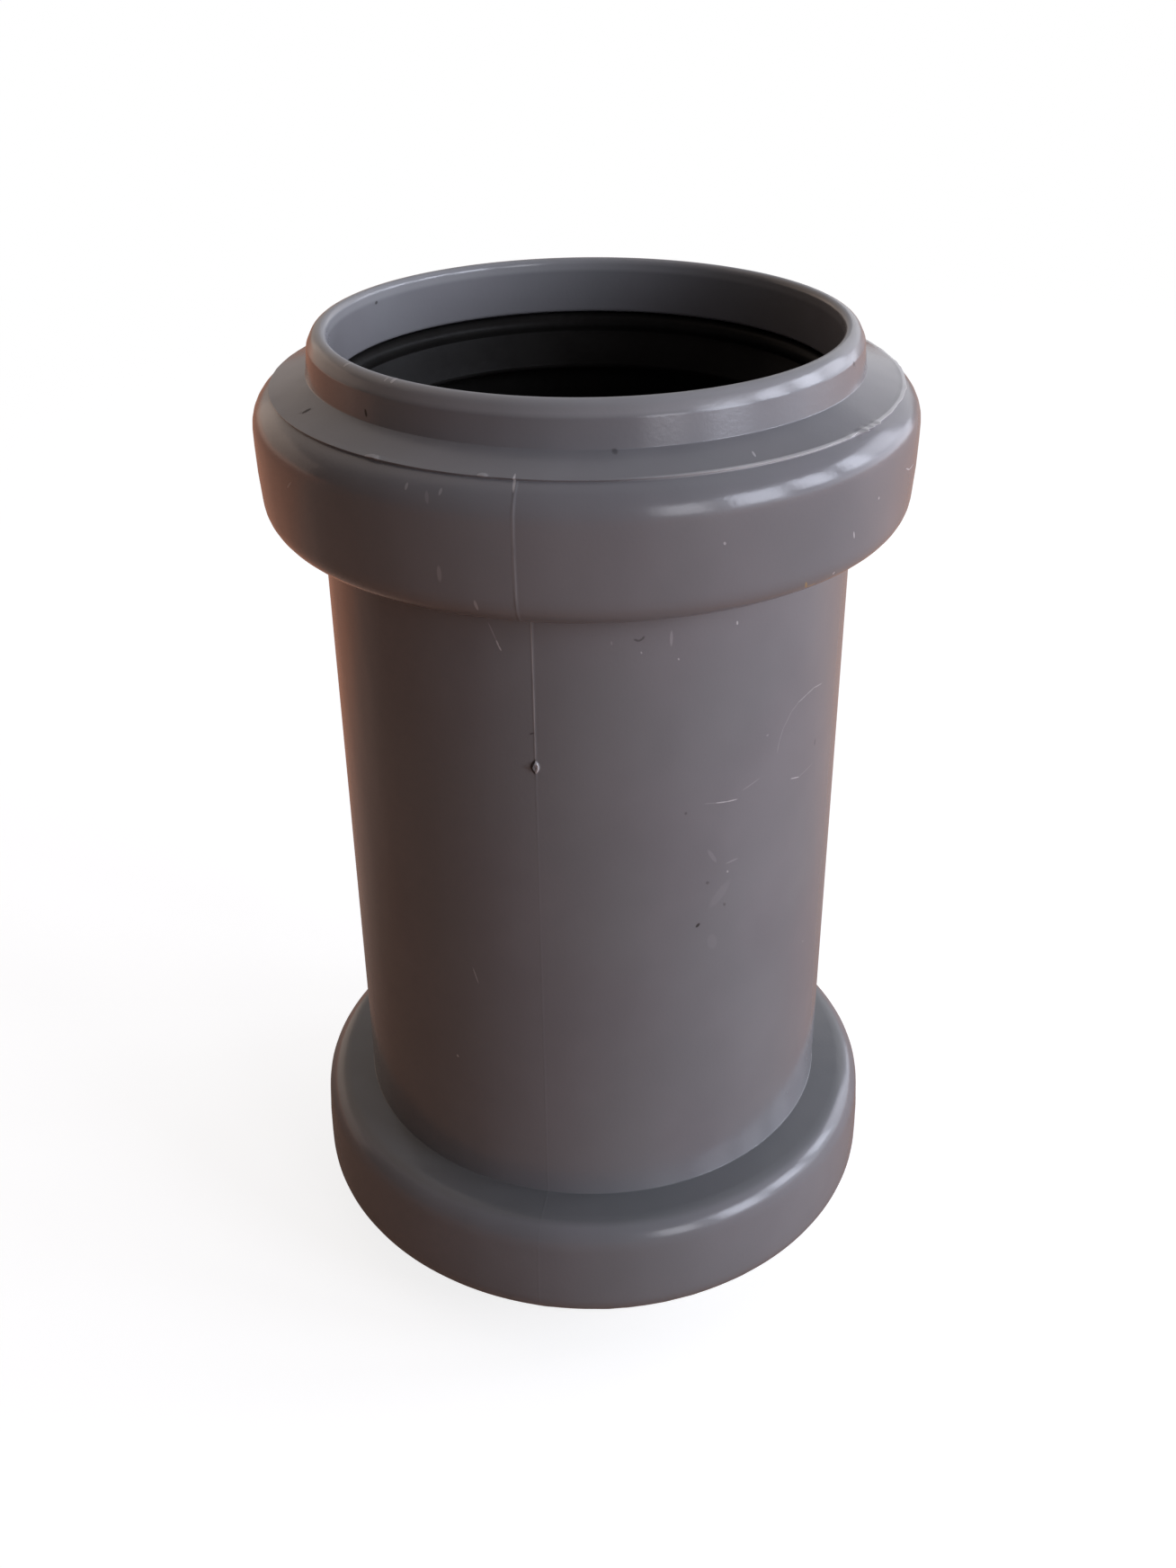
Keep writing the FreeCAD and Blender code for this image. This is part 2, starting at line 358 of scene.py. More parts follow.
def outward_normals(points):
    """Unit normals of a closed outline that runs with the material on its left."""
    normals = []
    for k in range(len(points)):
        along = (points[(k + 1) % len(points)] - points[k - 1]).normalized()
        normals.append(Vector((along.y, -along.x)))
    return normals


def on_surface(azimuth, height, radius):
    """Point in metres at an azimuth, a height and a distance from the axis."""
    turn = math.radians(azimuth)
    return Vector((radius * MM * math.sin(turn), -radius * MM * math.cos(turn), height * MM))


def lathe(name, points, azimuths, shape):
    """Closed mesh of an outline turned about Z. shape moves each point and gives radius and height."""
    normals = outward_normals(points)
    vertices = []
    for azimuth in azimuths:
        for point, normal in zip(points, normals):
            radius, height = shape(point, normal, azimuth)
            vertices.append(on_surface(azimuth, height, radius))
    rows, columns = len(points), len(azimuths)
    faces = []
    for j in range(columns):
        here, there = j * rows, (j + 1) % columns * rows
        for i in range(rows):
            following = (i + 1) % rows
            faces.append((here + i, there + i, there + following, here + following))
    mesh = bpy.data.meshes.new(name)
    mesh.from_pydata(vertices, [], faces)
    mesh.update()
    mesh.polygons.foreach_set("use_smooth", [True] * len(mesh.polygons))
    mesh.set_sharp_from_angle(angle=SHARP_ANGLE)
    piece = bpy.data.objects.new(name, mesh)
    bpy.context.scene.collection.objects.link(piece)
    return piece


def angle_from(azimuth, other):
    """Signed difference of two azimuths, from -180 to 180 degrees."""
    return (azimuth - other + 180) % 360 - 180


def column_width(azimuth):
    """Width of the column that starts at an azimuth: narrow at the seams, the gate and ragged flash."""
    front = abs(angle_from(azimuth + COLUMN_NUDGE, SEAM_AZIMUTH))
    back = abs(angle_from(azimuth + COLUMN_NUDGE, SEAM_AZIMUTH + 180))
    if front < GATE_SIDE or back < BACK_SEAM_SIDE:
        return SEAM_COLUMN
    ragged = any(low <= azimuth < high for low, high in RAGGED_ARCS)
    return FLASH_COLUMN if ragged else PLAIN_COLUMN


def body_azimuths():
    """Where the columns of the body's mesh start, all the way round."""
    result = []
    azimuth = -180.0
    while azimuth < LAST_COLUMN:
        result.append(azimuth)
        azimuth = round(azimuth + column_width(azimuth), 4)
    return result


def smooth_step(low, high, value):
    """0 below low and 1 above high, with a smooth rise between them."""
    share = min(max((value - low) / (high - low), 0), 1)
    return share * share * (3 - 2 * share)


def ring_noise(azimuth, wavelength, seed):
    """Noise from -1 to 1 that closes round the ring. The wavelength is in degrees."""
    turn = math.radians(azimuth)
    size = NOISE_RADIAN / wavelength
    place = (size * math.sin(turn), size * math.cos(turn), seed * NOISE_SEED_STEP)
    return noise.noise(Vector(place))


# Flaps of flash on the top step that the photograph shows: azimuth, half width in degrees, rise.
FLASH_FLAPS = [
    (-36.4, 1.7, 0.2),
    (-16.4, 0.9, 0.14),
    (48.0, 0.8, 0.2),
    (50.6, 0.9, -0.2),
    (52.4, 1.0, 0.6),
    (54.8, 0.9, 0.35),
    (57.0, 0.9, 0.4),
    (64.0, 2.0, 0.12),
]


def right_side(azimuth):
    """1 on the right, where the flash is wider and carries its painted highlight, and 0 elsewhere."""
    rise_start, rise_end, fall_start, fall_end = RIGHT_SIDE
    return smooth_step(rise_start, rise_end, azimuth) * (1 - smooth_step(fall_start, fall_end, azimuth))


def flash_amount(azimuth, top):
    """How far the flash stands out of the step's edge at an azimuth."""
    seed = 1 if top else 5
    right = right_side(azimuth)
    amount = FLASH_WIDTH + FLASH_EXTRA_WIDTH * right
    rough = FLASH_ROUGHNESS + FLASH_EXTRA_ROUGHNESS * right
    for number, wavelength in enumerate(FLASH_WAVES):
        amount += rough * ring_noise(azimuth, wavelength, seed + number)
    if top:
        for place, half_width, rise in FLASH_FLAPS:
            off = abs(azimuth - place) / half_width
            if off < 1:
                amount += rise * (1 - off * off)
    return amount


def gate_rise(azimuth, height):
    """Height of the eye-shaped pip at the gate."""
    across = abs(angle_from(azimuth, SEAM_AZIMUTH)) * math.radians(1) * BARREL_RADIUS
    along = (height - GATE_Z) / GATE_HALF_HEIGHT
    half_width = GATE_HALF_WIDTH * (1 - along * along)
    if half_width <= GATE_LEAST_WIDTH or across >= half_width:
        return 0
    share = across / half_width
    rim = smooth_step(0, GATE_RIM, 1 - share) * smooth_step(0, GATE_TIP, 1 - abs(along))
    hollow = GATE_HOLLOW * smooth_step(*GATE_DIP, share) * (1 - along * along)
    return GATE_RISE * (rim - hollow)


def seam_rise(azimuth, height):
    """Height of the moulding's seam, a fine ridge that is plainer below the gate."""
    front = abs(angle_from(azimuth, SEAM_AZIMUTH)) / SEAM_HALF_WIDTH
    back = abs(angle_from(azimuth, SEAM_AZIMUTH + 180)) / SEAM_HALF_WIDTH
    off = min(front, back)
    if off >= 1:
        return 0
    below_gate = 1 - SEAM_FADED * smooth_step(GATE_Z, GATE_Z - SEAM_FADE, height)
    uneven = SEAM_EVEN + SEAM_UNEVEN * noise.noise(Vector((0, 0, height * SEAM_WAVES)))
    return SEAM_HEIGHT * (1 - off) * below_gate * uneven


def add_flash(radius, height, azimuth):
    """Moves a point of the body for the flash, where it is near enough to the step's edge."""
    top = height > LENGTH / 2
    depth = LENGTH - height if top else height
    step_depth = shoulder_depth(PARTING_RADIUS)
    edge = 1 - min(math.hypot(radius - PARTING_RADIUS, depth - step_depth) / FLASH_FADE, 1)
    if edge <= 0 or depth >= step_depth + FLASH_BELOW:
        return radius, height
    amount = flash_amount(azimuth, top) * edge
    right = right_side(azimuth)
    lift = amount * (FLASH_RISE - FLASH_LESS_UP * right)
    return radius + amount * (FLASH_RISE + FLASH_MORE_OUT * right), height + (lift if top else -lift)


def body_shape(point, normal, azimuth):
    """Moves a point of the body's outline for the seam, the gate's pip and the flash."""
    radius, height = point
    if radius <= OUTSIDE_FROM:
        return radius, height
    depth = min(height, LENGTH - height)
    rise = 0
    if abs(radius - BARREL_RADIUS) < SAME and abs(height - GATE_Z) < GATE_HALF_HEIGHT:
        rise += gate_rise(azimuth, height)
    if depth > shoulder_depth(PARTING_RADIUS) + PARTING_STEP:
        rise += seam_rise(azimuth, height)
    radius, height = add_flash(radius, height, azimuth)
    return radius + normal.x * rise, height + normal.y * rise


def seal_shape(lip_edge_radius):
    """Shape function of a seal, whose lip's edge is a little uneven."""
    def shape(point, normal, azimuth):
        share = smooth_step(lip_edge_radius + SEAL_WAVE_REACH, lip_edge_radius, point.x)
        wave = sum(size * ring_noise(azimuth, width, seed) for size, width, seed in SEAL_WAVES)
        return point.x + wave * share, point.y + SEAL_WAVE_UP * wave * share
    return shape


def extra_rows(points, low, high, step):
    """The outline with closer points on the barrel's outside between two heights."""
    result = []
    for k, point in enumerate(points):
        result.append(point)
        following = points[(k + 1) % len(points)]
        on_barrel = all(abs(end.x - BARREL_RADIUS) < SAME for end in (point, following))
        if on_barrel and point.y < high and following.y > low and following.y > point.y:
            height = low
            while height < high:
                if point.y + step / 2 < height < following.y - step / 2:
                    result.append(Vector((BARREL_RADIUS, height)))
                height += step
    return result


def make_body():
    """The moulded body, as one closed mesh."""
    outside = socket_outside() + at_top(socket_outside())[::-1]
    inside = at_top(socket_inside()) + socket_inside()[::-1]
    points = outline(outside + inside, BODY_ARC_STEP, BODY_SIDE_STEP)
    points = extra_rows(points, GATE_Z - GATE_ROWS_BELOW, GATE_Z + GATE_ROWS_ABOVE, GATE_ROW)
    return lathe("moulded_body", points, body_azimuths(), body_shape)


def make_seal(name, corners):
    """One rubber seal, as one closed mesh."""
    points = outline(corners, SEAL_ARC_STEP, SEAL_SIDE_STEP)
    low_radius = min(point.x for point in points)
    azimuths = [k * 360 / SEAL_COLUMNS - 180 for k in range(SEAL_COLUMNS)]
    return lathe(name, points, azimuths, seal_shape(low_radius))


class Tree:
    """Short calls for building the nodes of a material or of the world."""

    def __init__(self, owner):
        self.owner = owner
        owner.use_nodes = True
        self.nodes = owner.node_tree.nodes
        self.links = owner.node_tree.links
        self.nodes.clear()

    def put(self, socket, value):
        """Links a socket to another node's socket, or sets its value."""
        if isinstance(value, bpy.types.NodeSocket):
            self.links.new(value, socket)
        else:
            socket.default_value = value

    def add(self, kind, inputs=None, **settings):
        """New node with these inputs and settings."""
        node = self.nodes.new(kind)
        for key, value in settings.items():
            setattr(node, key, value)
        for key, value in (inputs or {}).items():
            self.put(node.inputs[key], value)
        return node

    def math(self, operation, a, b=0.0):
        """One sum of one or two values."""
        return self.add("ShaderNodeMath", {0: a, 1: b}, operation=operation).outputs[0]

    def product(self, *factors):
        """All the factors multiplied with each other, in their order."""
        result = factors[0]
        for factor in factors[1:]:
            result = self.math("MULTIPLY", result, factor)
        return result

    def range(self, value, low, high, to_low=0.0, to_high=1.0):
        """to_low below low and to_high above high, with a smooth change between them."""
        inputs = {0: value, 1: low, 2: high, 3: to_low, 4: to_high}
        return self.add("ShaderNodeMapRange", inputs, interpolation_type="SMOOTHSTEP").outputs[0]

    def noise(self, vector, scale, detail=2.0, roughness=0.5):
        """Soft noise from 0 to 1."""
        inputs = {"Vector": vector, "Scale": scale, "Detail": detail, "Roughness": roughness}
        return self.add("ShaderNodeTexNoise", inputs).outputs[0]

    def mix(self, factor, a, b):
        """Mix of two colours, each a socket or red, green and blue."""
        node = self.add("ShaderNodeMix", {0: factor}, data_type="RGBA")
        for index, value in ((6, a), (7, b)):
            self.put(node.inputs[index], (*value, 1) if isinstance(value, tuple) else value)
        return node.outputs[2]

    def scaled(self, vector, x, y, z):
        """A vector with each part scaled."""
        return self.add("ShaderNodeVectorMath", {0: vector, 1: (x, y, z)}, operation="MULTIPLY").outputs[0]

    def length(self, vector):
        """Length of a vector."""
        return self.add("ShaderNodeVectorMath", {0: vector}, operation="LENGTH").outputs["Value"]

    def parts(self, vector):
        """The outputs X, Y and Z of a vector."""
        return self.add("ShaderNodeSeparateXYZ", {0: vector}).outputs

    def bump(self, height, strength, distance, **more):
        """Normal of a surface that stands out by a height."""
        inputs = {"Height": height, "Strength": strength, "Distance": distance, **more}
        return self.add("ShaderNodeBump", inputs).outputs[0]

    def position(self):
        """Place in the object's own coordinates, in metres."""
        return self.add("ShaderNodeTexCoord").outputs["Object"]

    def mirrored(self, path):
        """1 on a ray that a surface has reflected sharply or let through."""
        return self.math("ADD", path.outputs["Is Glossy Ray"], path.outputs["Is Transmission Ray"])

    def finish(self, shader, output="ShaderNodeOutputMaterial"):
        """Links the shader to the output and gives the material or the world."""
        self.add(output, {"Surface": shader})
        return self.owner


def new_material(name):
    """Tree of a new material."""
    return Tree(bpy.data.materials.new(name))


BEAD = BEAD_RADIUS - 0.1   # where the marks on the bead's crown lie
STROKE_OVERLAP = 1.4       # how much longer each stroke is than the way between its points
STROKE_WIDENING = 1.3      # how much wider it is than it shows, since it fades at its skin
STROKE_DEPTH = 0.5         # how much further it reaches into the surface than along it
STROKE_STEEPNESS = 3       # how fast it comes to its full strength inside its skin

# Marks that the photograph shows, with the painted highlight and shade of the gate's pip among them:
# points as azimuth and height, radius, half width, strength.
LIGHT_MARKS_AND_PIP_HIGHLIGHT = [
    ([(-19.5, 87.5), (-18.25, 86.1)], BARREL_RADIUS, 0.06, 0.22),
    ([(-18.1, 85.95), (-17.75, 85.5), (-17.3, 85.1)], BARREL_RADIUS, 0.07, 0.6),
    ([(-11.1, 88.6), (-11.0, 82.0), (-11.0, 77.0)], BARREL_RADIUS, 0.065, 0.4),
    ([(-11.0, 77.0), (-11.0, 74.0)], BARREL_RADIUS, 0.06, 0.25),
    # Painted highlight on the right flank of the gate's pip, the side towards the lamps.
    ([(-10.9, 73.7), (-10.45, 73.15), (-10.8, 72.65)], BARREL_RADIUS + 0.12, 0.13, 0.7),
    ([(10.0, 85.1), (10.1, 85.0)], BARREL_RADIUS, 0.07, 0.3),
    ([(17.5, 84.0), (17.6, 83.9)], BARREL_RADIUS, 0.07, 0.4),
    ([(30.25, 86.5), (30.3, 86.3)], BARREL_RADIUS, 0.09, 0.5),
    ([(16.0, 86.7), (16.0, 85.6)], BARREL_RADIUS, 0.13, 0.2),
    ([(4.25, 86.3), (4.3, 86.1)], BARREL_RADIUS, 0.08, 0.15),
    ([(39.5, 73.2), (39.8, 73.2)], BARREL_RADIUS, 0.09, 0.2),
    ([(30.25, 59.1), (30.35, 59.0)], BARREL_RADIUS, 0.1, 0.3),
    ([(-32.75, 35.3), (-32.6, 35.2)], BARREL_RADIUS, 0.12, 0.5),
    ([(59.25, 75.2), (55.6, 75.5), (52.5, 75.35), (49.5, 75.1)], BARREL_RADIUS, 0.07, 0.25),
    ([(49.5, 75.1), (47.0, 74.5), (44.5, 73.1), (43.4, 71.8), (43.0, 70.8)], BARREL_RADIUS, 0.06, 0.13),
    ([(24.25, 67.8), (27.0, 67.55)], BARREL_RADIUS, 0.06, 0.12),
    ([(27.0, 67.55), (29.4, 67.35), (31.75, 67.25)], BARREL_RADIUS, 0.06, 0.55),
    ([(33.75, 68.1), (37.5, 68.6)], BARREL_RADIUS, 0.07, 0.14),
    ([(48.5, 66.6), (51.2, 66.2)], BARREL_RADIUS, 0.06, 0.4),
    ([(51.2, 66.2), (56.75, 66.4)], BARREL_RADIUS, 0.06, 0.1),
    ([(25.5, 62.1), (27.0, 60.9)], BARREL_RADIUS, 0.2, 0.09),
    ([(30.25, 60.1), (32.5, 60.2)], BARREL_RADIUS, 0.1, 0.14),
    ([(27.0, 55.8), (30.0, 57.4)], BARREL_RADIUS, 0.5, 0.045),
    ([(26.75, 51.4), (27.2, 50.6)], BARREL_RADIUS, 0.5, 0.04),
    ([(-27.0, 47.8), (-26.0, 46.3)], BARREL_RADIUS, 0.07, 0.35),
    ([(28.3, 103.45), (28.5, 103.6)], 29.95, 0.09, 0.45),
    ([(20.5, 97.3), (20.6, 97.2)], BEAD, 0.11, 0.4),
    ([(46.6, 94.8), (46.9, 94.3)], BEAD, 0.09, 0.45),
    ([(43.25, 91.35), (43.35, 91.25)], BEAD - 0.3, 0.13, 0.45),
    ([(53.25, 97.0), (53.35, 96.9)], BEAD, 0.13, 0.25),
    ([(-55.75, 98.2), (-54.5, 98.8)], BEAD, 0.1, 0.5),
    ([(64.75, 97.7), (67.0, 97.2), (70.0, 97.1)], BEAD, 0.07, 0.5),
    ([(-28.4, 101.9), (-28.4, 101.6)], BEAD - 0.5, 0.13, 0.3),
    ([(-22.5, 101.9), (-22.6, 101.6)], BEAD - 0.5, 0.13, 0.25),
    ([(-24.75, 101.5), (-24.4, 100.9)], BEAD - 0.3, 0.16, 0.14),
    ([(-23.0, 95.0), (-23.0, 94.0)], BEAD, 0.2, 0.2),
    ([(-17.5, 92.2), (-17.3, 91.5)], BEAD - 0.25, 0.14, 0.35),
    ([(-11.4, 103.3), (-11.2, 102.3)], 31.4, 0.11, 0.8),
    ([(-38.0, 103.1), (-36.4, 103.18), (-35.2, 103.1)], 31.1, 0.09, 0.35),
    ([(-17.1, 103.12), (-15.8, 103.12)], 31.1, 0.1, 0.35),
    ([(-11.0, 101.5), (-11.1, 97.5), (-11.0, 93.0)], BEAD, 0.14, 0.12),
    ([(-55.5, 108.3), (-55.3, 108.3)], 26.1, 0.14, 0.6),
    ([(-40.25, 108.3), (-40.0, 108.3)], 26.1, 0.14, 0.7),
    ([(-42.0, 108.3), (-41.9, 108.3)], 26.3, 0.12, 0.4),
]

OCHRE_MARKS = [
    ([(36.75, 91.4), (37.6, 90.7)], BEAD - 0.35, 0.11, 0.8),
    ([(37.6, 90.7), (39.5, 90.75)], BEAD - 0.6, 0.09, 0.6),
]

DARK_MARKS_AND_PIP_SHADE = [
    ([(8.75, 86.4), (9.5, 86.25), (10.2, 86.4), (10.5, 86.6)], BARREL_RADIUS, 0.1, 0.6),
    ([(-11.9, 76.7), (-11.3, 76.8)], BARREL_RADIUS, 0.07, 0.8),
    # Painted shade on the left flank of the gate's pip.
    ([(-11.2, 73.85), (-11.85, 73.2), (-11.3, 72.55)], BARREL_RADIUS + 0.05, 0.13, 0.9),
    ([(58.0, 69.0), (57.9, 68.6)], BARREL_RADIUS, 0.16, 0.25),
    ([(19.75, 67.2), (19.9, 67.2)], BARREL_RADIUS, 0.13, 0.5),
    ([(25.25, 58.5), (25.4, 58.4)], BARREL_RADIUS, 0.15, 0.5),
    ([(29.75, 55.2), (29.9, 55.1)], BARREL_RADIUS, 0.15, 0.45),
    ([(23.1, 53.45), (23.5, 53.65)], BARREL_RADIUS, 0.16, 0.9),
    ([(-61.8, 103.8), (-61.6, 103.75)], 29.2, 0.23, 1.0),
    ([(-62.2, 103.6), (-62.3, 103.5)], 29.5, 0.09, 0.5),
    ([(-45.8, 105.4), (-45.5, 105.0)], 27.35, 0.15, 1.0),
    ([(65.2, 106.95), (65.3, 106.7)], 27.15, 0.14, 0.9),
    ([(-120.0, 107.0), (-119.6, 106.95)], MOUTH_RADIUS, 0.15, 0.9),
    ([(4.6, 104.35), (5.0, 104.3)], 27.6, 0.16, 0.5),
]


def add_stroke(tree, position, start, end, radius, half_width):
    """1 on a long thin ellipsoid through two places on the surface, fading to 0 at its skin."""
    first, last = on_surface(*start, radius), on_surface(*end, radius)
    outward = Vector((first.x + last.x, first.y + last.y, 0)).normalized()
    along = (last - first).normalized()
    across = outward.cross(along).normalized()
    turned = Matrix((along, across, along.cross(across))).transposed()
    half_length = (last - first).length / 2 * STROKE_OVERLAP + half_width * MM
    inputs = {
        "Vector": position,
        "Location": (first + last) / 2,
        "Rotation": turned.to_euler(),
        "Scale": (half_length, half_width * MM * STROKE_WIDENING, half_length + STROKE_DEPTH * MM),
    }
    inside = tree.add("ShaderNodeMapping", inputs, vector_type="TEXTURE").outputs[0]
    return tree.add("ShaderNodeTexGradient", {"Vector": inside}, gradient_type="SPHERICAL").outputs["Fac"]


def marks_mask(tree, position, marks):
    """Largest value of the strokes that make up a list of marks."""
    total = 0.0
    for points, radius, half_width, strength in marks:
        for start, end in zip(points, points[1:]):
            stroke = add_stroke(tree, position, start, end, radius, half_width)
            amount = tree.math("MINIMUM", tree.product(stroke, strength * STROKE_STEEPNESS), strength)
            total = tree.math("MAXIMUM", total, amount)
    return total


def random_specks(tree, position, scale, share, size, strength):
    """Small round specks scattered over the surface: one in some of the cells of a Voronoi pattern."""
    inputs = {"Vector": position, "Scale": scale, "Randomness": 1.0}
    cells = tree.add("ShaderNodeTexVoronoi", inputs, feature="F1")
    draw = tree.add("ShaderNodeSeparateColor", {0: cells.outputs["Color"]}).outputs[0]
    chosen = tree.math("LESS_THAN", draw, share)
    dot = tree.range(cells.outputs["Distance"], size * SPECK_EDGE, size, 1.0, 0.0)
    return tree.product(dot, chosen, strength)


def end_depth(tree, position):
    """Distance in metres from the nearer end face."""
    middle = LENGTH / 2 * MM
    away = tree.math("ABSOLUTE", tree.math("SUBTRACT", tree.parts(position)["Z"], middle))
    return tree.math("SUBTRACT", middle, away)


def band(centre, low, high):
    """Two lengths in metres that lie low and high millimetres from a centre."""
    return (centre + low) * MM, (centre + high) * MM


def flash_highlight_mask(tree, position, depth):
    """Painted highlight on the step's flash: a pale strip on the right side only, the side towards the
    lamps.
    """
    step = shoulder_depth(PARTING_RADIUS)
    radius = tree.length(tree.scaled(position, 1, 1, 0))
    outside = tree.range(radius, *band(PARTING_RADIUS, -0.3, -0.1))
    above = tree.range(depth, *band(step, -0.25, -0.02))
    below = tree.range(depth, *band(step, 0.15, 0.28), 1.0, 0.0)
    right = tree.range(tree.parts(position)["X"], 0.0, 0.5 * PARTING_RADIUS * MM)
    return tree.product(outside, above, below, right, FLASH_HIGHLIGHT_STRENGTH)


def back_shade_mask(tree, depth):
    """Painted shade on the back of each bead, where it faces the barrel."""
    top = tree.range(depth, *band(BEAD_LENGTH, -0.9, -0.45))
    foot = tree.range(depth, *band(BEAD_LENGTH, 0.02, 0.1), 1.0, 0.0)
    return tree.product(top, foot, BEAD_BACK_SHADE)


# Colours of the plastic and of what is on it.
GREY_DARKER = (0.187, 0.184, 0.194)
GREY_LIGHTER = (0.211, 0.207, 0.217)
GREY_TINT = (0.19, 0.2, 0.205)
# Painted highlight: all round, the plastic within about a millimetre of each end face is made paler.
LIP_HIGHLIGHT_COLOUR = (0.5, 0.5, 0.5)
LIP_HIGHLIGHT_STRENGTH = 0.23
LIP_HIGHLIGHT_DEPTHS = (1.0 * MM, 1.5 * MM)    # the painted highlight on the lip fades out between them
# Painted shade: the back of each bead is darkened where it faces the barrel.
BEAD_BACK_SHADE_COLOUR = (0.085, 0.092, 0.092)
BEAD_BACK_SHADE = 0.5
# Painted highlight: the flash on the step is made pale on the right side, where the lamps fall.
FLASH_HIGHLIGHT_COLOUR = (0.56, 0.55, 0.55)
FLASH_HIGHLIGHT_STRENGTH = 0.9
# The light and the dark mark colours also paint the highlight and the shade of the gate's pip.
LIGHT_MARK_AND_HIGHLIGHT = (0.62, 0.6, 0.6)
DARK_MARK_AND_SHADE = (0.022, 0.018, 0.018)
OCHRE_MARK = (0.42, 0.3, 0.13)

# Specks: cells in a metre, share of the cells with one, size as a share of a cell, strength.
DARK_SPECKS = (95, 0.2, 0.015, 0.5)
LIGHT_SPECKS = (120, 0.12, 0.012, 0.3)
LIGHT_SHIFT = (1.1, 1.1, 1.1)    # keeps the light specks off the dark ones
SPECK_EDGE = 0.6           # a speck fades from this share of its size

# Noises of the plastic: scale, detail and roughness. STRETCH draws them out along the height.
CLOUD = (60, 3.0, 0.55)
TINT = (90, 1.0)
SCUFFS = (130, 6.0, 0.65)
GRAIN = (2600, 2.0)
WAVES = (170, 1.0)
TINT_STRETCH = (1, 1, 0.6)
SCUFF_STRETCH = (1, 1, 0.5)
WAVES_STRETCH = (1, 1, 0.35)

# Values of the noises between which their effect grows.
CLOUD_RANGE = (0.3, 0.7)
TINT_RANGE = (0.35, 0.7)
SCUFF_RANGE = (0.52, 0.78)
SHEEN_RANGE = (0.25, 0.75)
DUST_RANGE = (0.6, 0.8)

TINT_STRENGTH = 0.35
GRAIN_BUMP = (0.05, 0.0002)    # strength and distance in metres
WAVES_BUMP = (0.16, 0.0006)
PLASTIC_ROUGHNESS = (0.16, 0.21)
SCUFF_ROUGHNESS = 0.05     # added to the plain plastic's
MARK_ROUGHNESS = 0.35
PLASTIC_IOR = 1.49


def plain_grey(tree, position, cloud):
    """The plastic's colour without marks: mottled, with painted highlights on the lip and on the flash,
    and painted shade behind the beads.
    """
    base = tree.mix(tree.range(cloud, *CLOUD_RANGE), GREY_DARKER, GREY_LIGHTER)
    tint = tree.noise(tree.scaled(position, *TINT_STRETCH), *TINT)
    base = tree.mix(tree.range(tint, *TINT_RANGE, 0, TINT_STRENGTH), base, GREY_TINT)
    depth = end_depth(tree, position)
    base = tree.mix(tree.range(depth, *LIP_HIGHLIGHT_DEPTHS, LIP_HIGHLIGHT_STRENGTH, 0.0), base, LIP_HIGHLIGHT_COLOUR)
    base = tree.mix(back_shade_mask(tree, depth), base, BEAD_BACK_SHADE_COLOUR)
    return tree.mix(flash_highlight_mask(tree, position, depth), base, FLASH_HIGHLIGHT_COLOUR)


def plastic_normal(tree, position):
    """The plastic's fine grain and slight waves."""
    grain = tree.noise(position, *GRAIN)
    waves = tree.noise(tree.scaled(position, *WAVES_STRETCH), *WAVES)
    return tree.bump(waves, *WAVES_BUMP, Normal=tree.bump(grain, *GRAIN_BUMP))


def plastic_roughness(tree, position, cloud, marks):
    """The plastic's sheen: duller on scuffs and marks."""
    scuff = tree.range(tree.noise(tree.scaled(position, *SCUFF_STRETCH), *SCUFFS), *SCUFF_RANGE)
    plain = tree.range(cloud, *SHEEN_RANGE, *PLASTIC_ROUGHNESS)
    plain = tree.math("ADD", plain, tree.product(scuff, SCUFF_ROUGHNESS))
    return tree.math("ADD", plain, tree.product(marks, MARK_ROUGHNESS))


def plastic_material(name, light_marks_and_highlight=(), dark_marks_and_shade=(), ochre_marks=()):
    """Satin grey polypropylene with specks and with the marks that the photograph shows, the gate pip's
    painted highlight and shade among them.
    """
    tree = new_material(name)
    position = tree.position()
    cloud = tree.noise(position, *CLOUD)
    dark = random_specks(tree, position, *DARK_SPECKS)
    light = random_specks(tree, tree.scaled(position, *LIGHT_SHIFT), *LIGHT_SPECKS)
    if light_marks_and_highlight:
        light = tree.math("MAXIMUM", light, marks_mask(tree, position, light_marks_and_highlight))
    if dark_marks_and_shade:
        dark = tree.math("MAXIMUM", dark, marks_mask(tree, position, dark_marks_and_shade))
    base = tree.mix(light, plain_grey(tree, position, cloud), LIGHT_MARK_AND_HIGHLIGHT)
    base = tree.mix(dark, base, DARK_MARK_AND_SHADE)
    if ochre_marks:
        base = tree.mix(marks_mask(tree, position, ochre_marks), base, OCHRE_MARK)
    inputs = {
        "Base Color": base,
        "Roughness": plastic_roughness(tree, position, cloud, tree.math("MAXIMUM", light, dark)),
        "Normal": plastic_normal(tree, position),
        "IOR": PLASTIC_IOR,
    }
    return tree.finish(tree.add("ShaderNodeBsdfPrincipled", inputs).outputs[0])


RUBBER_DARKER = (0.012, 0.0112, 0.0105)
RUBBER_LIGHTER = (0.018, 0.017, 0.016)
RUBBER_DUST = (0.03, 0.029, 0.028)
RUBBER_CLOUD = (110, 4.0, 0.6)
RUBBER_GRAIN = (1800, 3.0)
DUST = (900, 3.0, 0.7)
DUST_STRENGTH = 0.25
RUBBER_ROUGHNESS = (0.3, 0.4)
RUBBER_BUMP = (0.12, 0.0002)
RUBBER_IOR = 1.5
RUBBER_SPECULAR = 0.05


